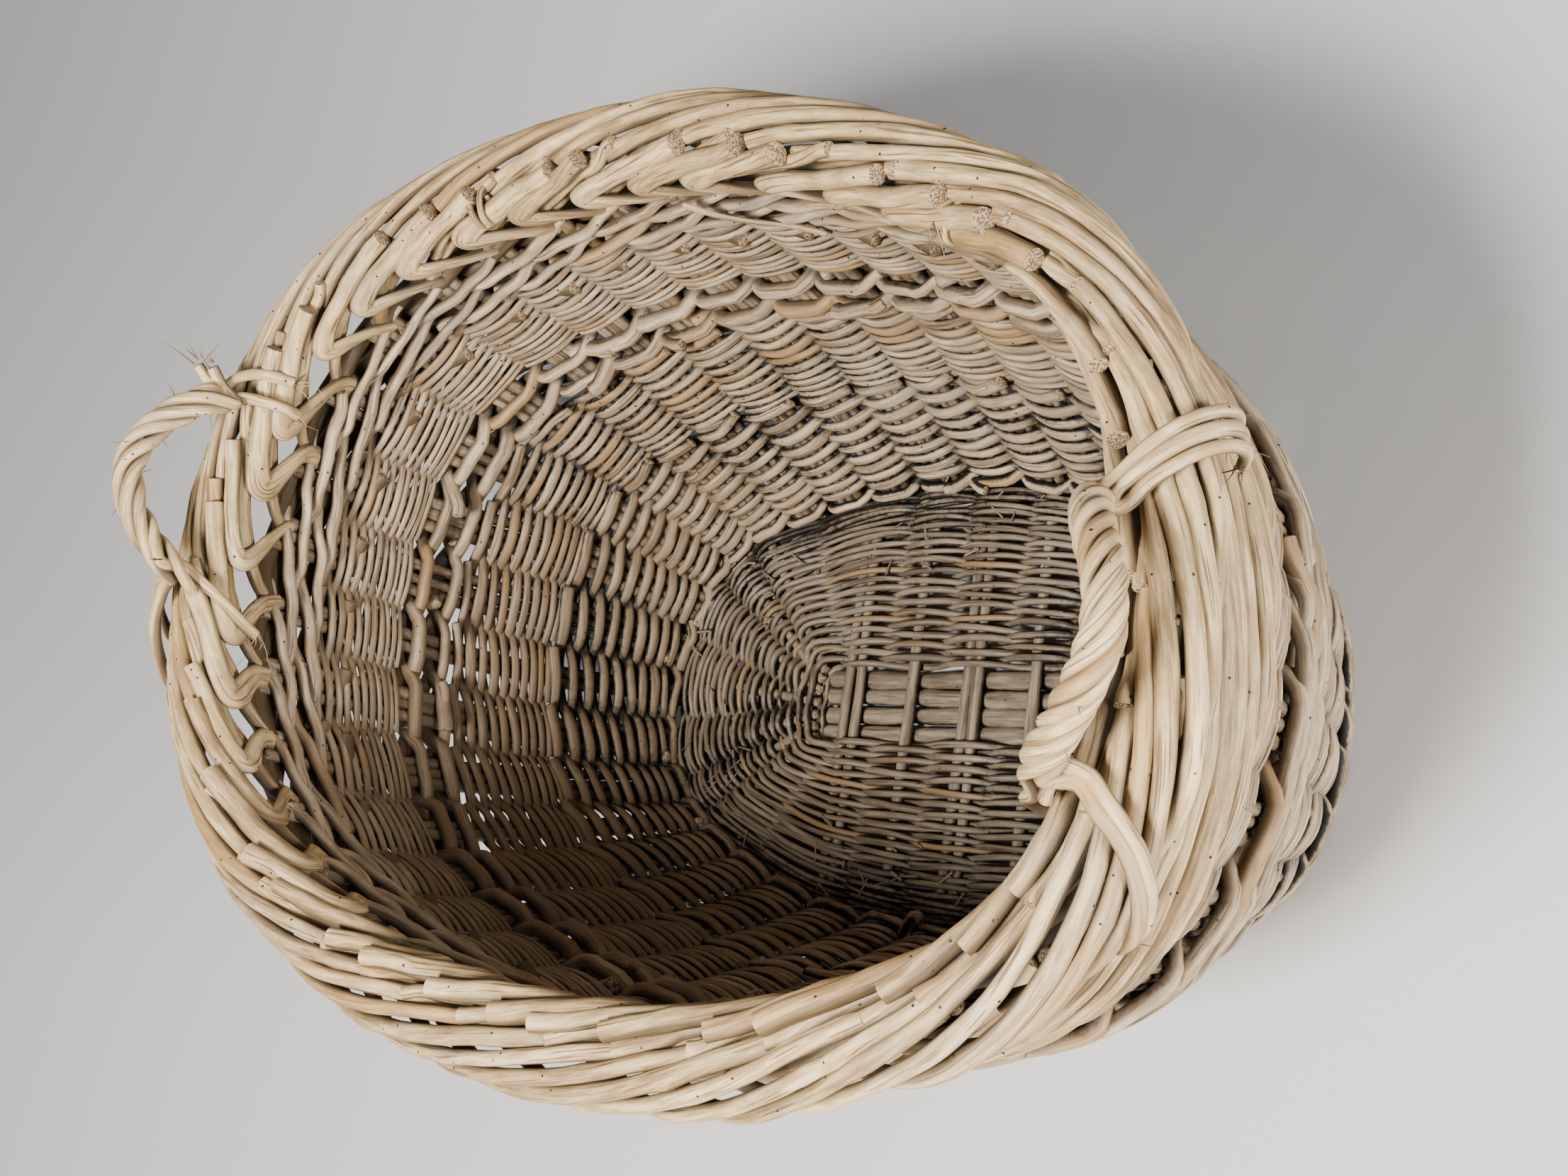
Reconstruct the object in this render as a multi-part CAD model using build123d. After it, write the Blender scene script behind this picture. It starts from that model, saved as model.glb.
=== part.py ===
"""Large oval wicker log basket with two roped bow handles.

The basket stands upright on its bottom wale.  Z is up, X runs from handle to
handle, Y runs across, and the origin is on the floor under the middle of the
basket.  Every woven band is a pair of closed skins, one on each side of the
stakes, with the true outer shape of the weave.  All lengths are millimetres.
"""
from build123d import *
from math import asin, cos, degrees, radians, sin
import os

# Oval of the stakes where they leave the base.  It is made of end, corner and
# side arcs, which meet where the outward normal points at the two angles below.
BASE_HALF_LENGTH = 305.0
BASE_HALF_WIDTH = 184.0
BASE_CORNER_RADIUS = 112.0
END_ARC_ANGLE = 20.0
SIDE_ARC_ANGLE = 65.0

# Wall profile: how far the stakes lean out on their way up, and how much they
# belly beyond a straight line.
STAKE_BOTTOM = 14.0
STAKE_TOP = 438.0
WALL_FLARE = 100.0
WALL_BELLY = 30.0

# Upright stakes, set in pairs side by side.
STAKE_PAIRS = 38
STAKE_DIAMETER = 10.0
STAKE_SPACING = 10.6
STAKE_GROUPS = 10

# Room between separate pieces that lie against each other, and the height of
# one straight facet in the bowed skins.
CLEARANCE = 0.6
SKIN_CLEARANCE = 1.5
SKIN_LEVEL = 26.0

# Sections of a skin along each end, corner, side and next corner arc.
SECTIONS_PER_ARC = (2, 2, 4, 2)

# Skins of the woven wall: band, lower and upper height, side of the stakes
# (-1 is inside and 1 is outside) and thickness.
WALL_SKINS = (
    ("lower_wall_weave", 37.0, 140.0, -1, 6.0),
    ("lower_wall_weave", 37.0, 140.0, 1, 6.0),
    ("middle_wall_weave", 142.0, 232.0, -1, 6.0),
    ("middle_wall_weave", 142.0, 232.0, 1, 6.0),
    ("open_wale", 234.0, 284.0, -1, 10.0),
    ("open_wale", 234.0, 284.0, 1, 10.0),
    ("upper_wall_weave", 286.0, 360.0, -1, 6.0),
    ("upper_wall_weave", 286.0, 328.0, 1, 6.0),
    ("heavy_outer_wale", 330.0, 424.0, 1, 13.0),
    ("top_wale", 362.0, 430.0, -1, 8.0),
    ("bottom_wale", 0.0, 35.0, 1, 9.0),
)

# Border rolled over the stake tops: rods side by side round a half circle, and
# the folded stake ends that show as a row of butts along the inner edge.
BORDER_HEIGHT = 452.0
BORDER_OFFSET = 112.0
BORDER_ROD_DIAMETER = 13.5
BORDER_ARC_RADIUS = 27.0
BORDER_FIRST_ANGLE = -15.0
BORDER_ANGLE_STEP = 29.3
BORDER_RODS = 6
BUTT_DIAMETER = 12.5
BUTT_LENGTH = 48.0
BUTT_ANGLE = 165.0
BUTT_RADIUS = 29.0
BUTT_GROUPS = 2

# Base: a bundle of long sticks under cross sticks, woven out to the stakes.
# The sticks lie at a small turn to the handles.
BASE_TURN = 4.0
LONG_STICK_DIAMETER = 15.0
LONG_STICK_LENGTH = 296.0
LONG_STICK_PITCH = 15.4
LONG_STICKS = 4
LONG_STICK_HEIGHT = 9.8
CROSS_STICK_DIAMETER = 10.0
CROSS_STICK_HEIGHT = 22.8
CROSS_STICK_PITCH = 59.0
CROSS_STICKS_IN_GROUP = (2, 1, 2, 1, 2)
END_STICK_DIAMETER = 9.0
END_STICK_ANGLES = (-62, -42, -21, 0, 21, 42, 62)
BASE_WEAVE_THICKNESS = 5.0
BASE_WINDOW_LENGTH = 302.0
BASE_WINDOW_WIDTH = 64.0

# Handles: three strands in a bow, lashed over the border at both ends.
HANDLE_TURNS = {"right": -5.0, "left": 172.0}
HANDLE_STRANDS = 3
HANDLE_STRAND_DIAMETER = 14.0
HANDLE_STRAND_CIRCLE = 8.6
HANDLE_HALF_ANGLE = 15.5
HANDLE_END_LIFT = 52.0
HANDLE_END_ANGLE = 118.0
HANDLE_RISE = 92.0
HANDLE_LEAN = 14.0
LASHING_DIAMETER = 10.0
LASHING_RADIUS = 41.0
LASHING_TURNS = (20.9, 23.1)


def oval_extras():
    """How much the end and side arc radii exceed the corner radius."""
    long_run = BASE_HALF_LENGTH - BASE_CORNER_RADIUS
    wide_run = BASE_HALF_WIDTH - BASE_CORNER_RADIUS
    end, side = radians(END_ARC_ANGLE), radians(SIDE_ARC_ANGLE)
    scale = (1 - cos(end)) * (1 - sin(side)) - cos(side) * sin(end)
    end_extra = (long_run * (1 - sin(side)) - wide_run * cos(side)) / scale
    side_extra = ((1 - cos(end)) * wide_run - sin(end) * long_run) / scale
    return end_extra, side_extra


END_EXTRA, SIDE_EXTRA = oval_extras()
END_CENTRE = BASE_HALF_LENGTH - BASE_CORNER_RADIUS - END_EXTRA
SIDE_CENTRE = BASE_HALF_WIDTH - BASE_CORNER_RADIUS - SIDE_EXTRA


def oval_point(angle, offset, height=0.0):
    """Point of the oval, grown by offset, whose outward normal is at angle."""
    across, along = sin(radians(angle)), cos(radians(angle))
    steep = degrees(asin(min(1.0, abs(across))))
    side_x = 1 if along >= 0 else -1
    side_y = 1 if across >= 0 else -1
    if steep <= END_ARC_ANGLE:
        centre = (END_CENTRE, 0.0)
        radius = BASE_CORNER_RADIUS + END_EXTRA
    elif steep <= SIDE_ARC_ANGLE:
        centre = (END_CENTRE + END_EXTRA * cos(radians(END_ARC_ANGLE)),
                  END_EXTRA * sin(radians(END_ARC_ANGLE)))
        radius = BASE_CORNER_RADIUS
    else:
        centre = (0.0, SIDE_CENTRE)
        radius = BASE_CORNER_RADIUS + SIDE_EXTRA
    reach = radius + offset
    return Vector(side_x * centre[0] + reach * along, side_y * centre[1] + reach * across, height)


def normal(angle):
    """Outward normal of the oval."""
    return Vector(cos(radians(angle)), sin(radians(angle)), 0)


def oval_wire(offset, height):
    """Closed line of eight tangent arcs."""
    joints = [END_ARC_ANGLE, SIDE_ARC_ANGLE, 180 - SIDE_ARC_ANGLE, 180 - END_ARC_ANGLE]
    joints += [180 + angle for angle in joints]
    arcs = []
    for start, end in zip([joints[-1] - 360] + joints[:-1], joints):
        angles = (start, (start + end) / 2, end)
        arcs.append(ThreePointArc(*(oval_point(a, offset, height) for a in angles)))
    return Wire(arcs)


def wall_offset(height):
    """How far the middle of the stakes stands outside the base oval."""
    rise = (height - STAKE_BOTTOM) / (STAKE_TOP - STAKE_BOTTOM)
    return WALL_FLARE * rise + 4 * WALL_BELLY * rise * (1 - rise)


def ring(profile):
    """Closed ring whose section has the given (offset, height) corners.

    It is made of short sections end to end, each nearly straight.
    """
    corner, side, far = END_ARC_ANGLE, SIDE_ARC_ANGLE, 180 - SIDE_ARC_ANGLE
    joints = [-corner, corner, side, far, 180 - corner]
    sections = []
    for half in (0, 180):
        for start, end, count in zip(joints, joints[1:], SECTIONS_PER_ARC):
            step = (end - start) / count
            for index in range(count):
                sections.append(ring_section(profile, half + start + step * index, step))
    return sections


def ring_section(profile, start, span):
    """One section of a ring, over a span of normal angles that lies within one arc."""
    offset, height = profile[0]
    corners = [oval_point(start, o, z) for o, z in profile]
    face = make_face(Polyline(*corners, close=True))
    angles = (start, start + span / 2, start + span)
    path = ThreePointArc(*(oval_point(a, offset, height) for a in angles))
    return sweep(face, path=path)


def wall_skin(low, high, side, thickness):
    """Sections of the skin of one woven band: side is -1 inside the stakes and 1 outside."""
    levels = max(2, round((high - low) / SKIN_LEVEL) + 1)
    near_line, far_line = [], []
    for level in range(levels):
        height = low + (high - low) * level / (levels - 1)
        slope = (wall_offset(height + 1) - wall_offset(height - 1)) / 2
        stretch = (1 + slope * slope) ** 0.5
        near = wall_offset(height) + side * (STAKE_DIAMETER / 2 + SKIN_CLEARANCE) * stretch
        near_line.append((near, height))
        far_line.append((near + side * thickness, height))
    return ring(near_line + far_line[::-1])


def rod(start, end, diameter):
    """Straight round rod between two points."""
    along = end - start
    plane = Plane(origin=start, z_dir=along)
    return extrude(plane * Circle(diameter / 2), amount=along.length)


def bent_rod(points, diameter):
    """Round rod along the arc through three points."""
    path = ThreePointArc(*points)
    plane = Plane(origin=path @ 0, z_dir=path % 0)
    return sweep(plane * Circle(diameter / 2), path=path)


def stake_angles():
    """Normal angles of the stake pairs, evenly spaced round the wall at mid height."""
    offset = wall_offset((STAKE_BOTTOM + STAKE_TOP) / 2)
    steps = 1440
    points = [oval_point(360 * i / steps, offset) for i in range(steps + 1)]
    lengths = [0.0]
    for near, far in zip(points, points[1:]):
        lengths.append(lengths[-1] + (far - near).length)
    angles = []
    index = 0
    for pair in range(STAKE_PAIRS):
        target = lengths[-1] * (pair + 0.5) / STAKE_PAIRS
        while lengths[index + 1] < target:
            index += 1
        part_way = (target - lengths[index]) / (lengths[index + 1] - lengths[index])
        angles.append(360 * (index + part_way) / steps)
    return angles


def stake_pair(angle):
    """Two stakes side by side, bowed like the wall."""
    beside = normal(angle + 90) * (STAKE_SPACING / 2)
    heights = (STAKE_BOTTOM, (STAKE_BOTTOM + STAKE_TOP) / 2, STAKE_TOP)
    middle = [oval_point(angle, wall_offset(z), z) for z in heights]
    return [bent_rod([p + beside * side for p in middle], STAKE_DIAMETER) for side in (-1, 1)]


def add_stakes(nodes):
    angles = stake_angles()
    for group in range(STAKE_GROUPS):
        first = round(group * STAKE_PAIRS / STAKE_GROUPS)
        last = round((group + 1) * STAKE_PAIRS / STAKE_GROUPS)
        stakes = []
        for angle in angles[first:last]:
            stakes += stake_pair(angle)
        nodes[f"wall_stakes_{group + 1:02d}"] = stakes


def add_wall_weave(nodes):
    for name, low, high, side, thickness in WALL_SKINS:
        nodes.setdefault(name, [])
        nodes[name] += wall_skin(low, high, side, thickness)


def turned(shape):
    """Shape turned to the direction of the base sticks."""
    return Rotation(0, 0, BASE_TURN) * shape


def base_plate(low):
    """Woven layer of the base, open over the bundle of long sticks."""
    rim = min(wall_offset(low), wall_offset(low + BASE_WEAVE_THICKNESS))
    outline = oval_wire(rim - STAKE_DIAMETER / 2 - 2 * CLEARANCE, low)
    sheet = extrude(make_face(outline), amount=BASE_WEAVE_THICKNESS, dir=(0, 0, 1))
    window = Box(BASE_WINDOW_LENGTH, BASE_WINDOW_WIDTH, 4 * BASE_WEAVE_THICKNESS)
    return sheet - turned(Pos(0, 0, low) * window)


def edge_reach(start, direction, height, clear):
    """Distance from start, inside the base, to the stakes in a level direction."""
    limit = wall_offset(height) - STAKE_DIAMETER / 2 - clear
    reach = 0.0
    inside = True
    while inside:
        reach += 1.0
        point = start + direction * reach
        inside = min((oval_point(a, limit) - point).dot(normal(a)) for a in range(0, 360, 3)) > 0
    return reach - 1.0


def add_base(nodes):
    for index in range(LONG_STICKS):
        y = (index - (LONG_STICKS - 1) / 2) * LONG_STICK_PITCH
        ends = [Vector(side * LONG_STICK_LENGTH / 2, y, LONG_STICK_HEIGHT) for side in (-1, 1)]
        nodes[f"base_long_stick_{index + 1}"] = [turned(rod(*ends, LONG_STICK_DIAMETER))]
    middle = (len(CROSS_STICKS_IN_GROUP) - 1) / 2
    across = normal(90 + BASE_TURN)
    for index, count in enumerate(CROSS_STICKS_IN_GROUP):
        sticks = []
        for stick in range(count):
            x = (index - middle) * CROSS_STICK_PITCH + (stick - (count - 1) / 2) * STAKE_SPACING
            centre = normal(BASE_TURN) * x + Vector(0, 0, CROSS_STICK_HEIGHT)
            reaches = [edge_reach(centre, across * s, CROSS_STICK_HEIGHT, 4.0) for s in (1, -1)]
            ends = (centre + across * reaches[0], centre - across * reaches[1])
            sticks.append(rod(*ends, CROSS_STICK_DIAMETER))
        nodes[f"base_cross_stick_{index + 1}"] = sticks
    for name, side in (("right", 0), ("left", 180)):
        sticks = []
        for angle in END_STICK_ANGLES:
            direction = normal(angle + side + BASE_TURN)
            centre = normal(side + BASE_TURN) * (LONG_STICK_LENGTH / 2 - 6)
            root = centre + direction * 28 + Vector(0, 0, CROSS_STICK_HEIGHT)
            reach = edge_reach(root, direction, CROSS_STICK_HEIGHT, 4.0)
            sticks.append(rod(root, root + direction * reach, END_STICK_DIAMETER))
        nodes[f"base_end_sticks_{name}"] = sticks
    gap = CROSS_STICK_DIAMETER / 2 + CLEARANCE
    nodes["base_weave_under"] = [base_plate(CROSS_STICK_HEIGHT - gap - BASE_WEAVE_THICKNESS)]
    nodes["base_weave_over"] = [base_plate(CROSS_STICK_HEIGHT + gap)]


def border_spot(angle, turn, radius):
    """Point at a turn round the rolled border, above the normal angle."""
    reach = radius * cos(radians(turn))
    rise = radius * sin(radians(turn))
    return oval_point(angle, BORDER_OFFSET + reach, BORDER_HEIGHT + rise)


def add_border(nodes):
    for index in range(BORDER_RODS):
        turn = BORDER_FIRST_ANGLE + BORDER_ANGLE_STEP * index
        start = border_spot(0, turn, BORDER_ARC_RADIUS)
        section = Plane(origin=start, x_dir=(1, 0, 0), z_dir=(0, 1, 0)) * Circle(BORDER_ROD_DIAMETER / 2)
        path = oval_wire(start.X - BASE_HALF_LENGTH, start.Z)
        nodes[f"border_rod_{index + 1}"] = [sweep(section, path=path)]
    butts = []
    for angle in stake_angles():
        centre = border_spot(angle, BUTT_ANGLE, BUTT_RADIUS)
        half = normal(angle + 90) * (BUTT_LENGTH / 2)
        butts.append(rod(centre - half, centre + half, BUTT_DIAMETER))
    share = len(butts) // BUTT_GROUPS
    for group in range(BUTT_GROUPS):
        nodes[f"border_butts_{group + 1}"] = butts[group * share:(group + 1) * share]


def handle_strands(middle_angle):
    """Strands of one bow, as arcs side by side round the bow's middle line."""
    ends = []
    for side in (-1, 1):
        angle = middle_angle + side * HANDLE_HALF_ANGLE
        ends.append(border_spot(angle, HANDLE_END_ANGLE, HANDLE_END_LIFT))
    crown = oval_point(middle_angle, BORDER_OFFSET + HANDLE_LEAN, BORDER_HEIGHT + HANDLE_RISE)
    bow = ThreePointArc(ends[0], crown, ends[1])
    centre = bow.arc_center
    upright = (ends[1] - ends[0]).cross(crown - ends[0]).normalized()
    strands = []
    for index in range(HANDLE_STRANDS):
        turn = radians(360 * index / HANDLE_STRANDS + 90)
        points = []
        for point in (ends[0], crown, ends[1]):
            outward = (point - centre).normalized()
            step = outward * sin(turn) + upright * cos(turn)
            points.append(point + step * HANDLE_STRAND_CIRCLE)
        strands.append(bent_rod(points, HANDLE_STRAND_DIAMETER))
    return strands


def lashing(angle):
    """Rod wrapped over the border from inside to outside beside a handle end."""
    points = [border_spot(angle, turn, LASHING_RADIUS) for turn in (176, 80, -16)]
    return bent_rod(points, LASHING_DIAMETER)


def add_handles(nodes):
    for name, middle in HANDLE_TURNS.items():
        for index, strand in enumerate(handle_strands(middle)):
            nodes[f"handle_{name}_strand_{index + 1}"] = [strand]
        for place, side in (("front", -1), ("back", 1)):
            turns = [middle + side * turn for turn in LASHING_TURNS]
            nodes[f"handle_{name}_lashing_{place}"] = [lashing(turn) for turn in turns]


def make_basket():
    """Every piece of the basket: node name to its solids."""
    nodes = {}
    add_base(nodes)
    add_stakes(nodes)
    add_wall_weave(nodes)
    add_border(nodes)
    add_handles(nodes)
    return nodes


def solids_of(shapes):
    found = []
    for shape in shapes:
        found += shape.solids()
    return found


os.makedirs("parts", exist_ok=True)
for node_name, node_shapes in make_basket().items():
    solids = solids_of(node_shapes)
    whole = solids[0] if len(solids) == 1 else Compound(children=solids)
    export_step(whole, f"parts/{node_name}.step")
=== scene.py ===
"""Looks of the large oval wicker log basket, woven rod by rod around its CAD frame.

Every rod is a tube mesh that follows its own path over and under its
neighbours.  Lengths are metres.  Places round the wall are counted in stake
spacings, anticlockwise seen from above, and most rods run the other way.
"""
import math
import bpy
import numpy as np
from mathutils import Matrix, Vector


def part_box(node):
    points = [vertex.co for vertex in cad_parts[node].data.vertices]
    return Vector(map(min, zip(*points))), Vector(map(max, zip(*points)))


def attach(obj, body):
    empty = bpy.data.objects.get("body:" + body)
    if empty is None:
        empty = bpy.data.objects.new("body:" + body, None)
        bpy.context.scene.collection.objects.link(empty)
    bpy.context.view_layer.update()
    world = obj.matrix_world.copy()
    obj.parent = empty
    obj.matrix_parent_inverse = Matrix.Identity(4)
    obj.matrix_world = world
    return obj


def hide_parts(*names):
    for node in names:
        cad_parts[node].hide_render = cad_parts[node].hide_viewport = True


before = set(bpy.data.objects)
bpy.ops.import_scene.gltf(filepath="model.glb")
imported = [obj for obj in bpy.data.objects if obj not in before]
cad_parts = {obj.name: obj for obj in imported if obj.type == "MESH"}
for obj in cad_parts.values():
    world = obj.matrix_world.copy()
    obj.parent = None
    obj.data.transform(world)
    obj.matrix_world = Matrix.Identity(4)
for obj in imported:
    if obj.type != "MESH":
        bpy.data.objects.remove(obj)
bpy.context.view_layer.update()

rng = np.random.default_rng(7)
MM = 0.001

# ---------------------------------------------------------------- the oval

# Oval of the stakes at the base, as in the frame: end, corner and side arcs.
BASE_HALF_LENGTH = 305 * MM
BASE_HALF_WIDTH = 184 * MM
BASE_CORNER = 112 * MM
END_ANGLE = math.radians(20)
SIDE_ANGLE = math.radians(65)
WALL_FLARE = 100 * MM
WALL_BELLY = 30 * MM
STAKE_BOTTOM = 14 * MM
STAKE_TOP = 438 * MM
STAKE_RADIUS = 5 * MM
STAKE_DRAWN_TOP = 416 * MM
STAKE_SPACING = 10 * MM
STAKE_GROUPS = 10
UNITS = 38

BORDER_OFFSET = 112 * MM
BORDER_HEIGHT = 452 * MM
BASE_TURN = math.radians(4)
# The old basket has gone slightly out of true: two opposite corners of its rim bulge.
BULGE = 12 * MM
BULGE_ANGLE = math.radians(130)


def oval_radii():
    long_run = BASE_HALF_LENGTH - BASE_CORNER
    wide_run = BASE_HALF_WIDTH - BASE_CORNER
    ce, se = math.cos(END_ANGLE), math.sin(END_ANGLE)
    cs, ss = math.cos(SIDE_ANGLE), math.sin(SIDE_ANGLE)
    scale = (1 - ce) * (1 - ss) - cs * se
    end = (long_run * (1 - ss) - wide_run * cs) / scale
    side = ((1 - ce) * wide_run - se * long_run) / scale
    return end, side


END_EXTRA, SIDE_EXTRA = oval_radii()


def oval(angle, offset):
    """Points and outward normals of the oval grown by offset, for arrays of normal angles."""
    c, s = np.cos(angle), np.sin(angle)
    offset = offset + BULGE * np.cos(2 * (angle - BULGE_ANGLE)) * np.clip(offset / BORDER_OFFSET, 0, 1.2)
    steep = np.arcsin(np.clip(np.abs(s), 0, 1))
    end_x = BASE_HALF_LENGTH - BASE_CORNER - END_EXTRA
    side_y = BASE_HALF_WIDTH - BASE_CORNER - SIDE_EXTRA
    corner_x = end_x + END_EXTRA * math.cos(END_ANGLE)
    corner_y = END_EXTRA * math.sin(END_ANGLE)
    is_end, is_side = steep <= END_ANGLE, steep > SIDE_ANGLE
    cx = np.where(is_end, end_x, np.where(is_side, 0.0, corner_x)) * np.sign(c + 1e-12)
    cy = np.where(is_end, 0.0, np.where(is_side, side_y, corner_y)) * np.sign(s + 1e-12)
    radius = BASE_CORNER + np.where(is_end, END_EXTRA, np.where(is_side, SIDE_EXTRA, 0.0)) + offset
    return cx + radius * c, cy + radius * s, c, s


def wall_offset(z):
    rise = (z - STAKE_BOTTOM) / (STAKE_TOP - STAKE_BOTTOM)
    return WALL_FLARE * rise + 4 * WALL_BELLY * rise * (1 - rise)


def unit_table():
    """Normal angle at each place round the wall, counted in stake spacings at mid height."""
    angle = np.linspace(0, 2 * math.pi, 4001)
    x, y, _, _ = oval(angle, wall_offset((STAKE_BOTTOM + STAKE_TOP) / 2))
    run = np.concatenate([[0], np.cumsum(np.hypot(np.diff(x), np.diff(y)))])
    return run / run[-1] * UNITS - 0.5, angle


TABLE_UNIT, TABLE_ANGLE = unit_table()


def angle_at(unit):
    """Normal angle at a place counted in stake spacings; whole numbers are stakes."""
    turns = np.floor((unit + 0.5) / UNITS)
    inside = unit - turns * UNITS
    return np.interp(inside, TABLE_UNIT, TABLE_ANGLE) + turns * 2 * math.pi


# Slow waves that keep the weave from being too regular.
WAVE_COUNTS = ((2, 6), (3, 9), (5, 4), (7, 14))
WAVE_TERMS = [(rng.uniform(0, 6.28), rng.uniform(0, 6.28), k, m) for k, m in WAVE_COUNTS]


def wave(unit, z, seed):
    total = 0
    for phase_a, phase_b, k, m in WAVE_TERMS:
        around = np.sin(2 * math.pi * k * unit / UNITS + phase_a + seed)
        total = total + around * np.sin(m * z + phase_b + 2 * seed)
    return total / 2


def wall(unit, z, lift):
    """Points of the wall, lift away from the middle of the stakes, and their outward normals."""
    unit = unit + 0.10 * wave(unit, z * 1.5, 1.3)
    lift = lift + 2.5 * MM * wave(unit, z, 4.1)
    angle = angle_at(unit)
    slope = (wall_offset(z + MM) - wall_offset(z - MM)) / (2 * MM)
    stretch = np.sqrt(1 + slope ** 2)
    x, y, nx, ny = oval(angle, wall_offset(z) + lift / stretch)
    zz = z - lift * slope / stretch
    points = np.stack([x, y, zz + 0 * x], -1)
    normals = np.stack([nx / stretch, ny / stretch, -slope / stretch + 0 * x], -1)
    return points, normals


def rim(unit, across, up):
    """Points round the border: across and up are measured from its core line."""
    unit = unit + 0.10 * wave(unit, 0.66, 1.3)
    angle = angle_at(unit)
    across = across + 2.5 * MM * wave(unit, 0.45, 4.1)
    up = up + 3.0 * MM * wave(unit, 0.9, 2.2)
    x, y, nx, ny = oval(angle, BORDER_OFFSET + across)
    return np.stack([x, y, BORDER_HEIGHT + up + 0 * x], -1), np.stack([nx, ny, 0 * nx], -1)


# ---------------------------------------------------------------- tube meshes

def carried(tangent, first):
    """Side vectors carried along each path without twisting about it."""
    front = np.zeros_like(tangent)
    vector = np.array(first, float)
    for step in range(tangent.shape[1]):
        along = tangent[:, step]
        vector = vector - along * np.sum(vector * along, axis=1, keepdims=True)
        vector /= np.linalg.norm(vector, axis=1, keepdims=True) + 1e-12
        front[:, step] = vector
    return front


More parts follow.
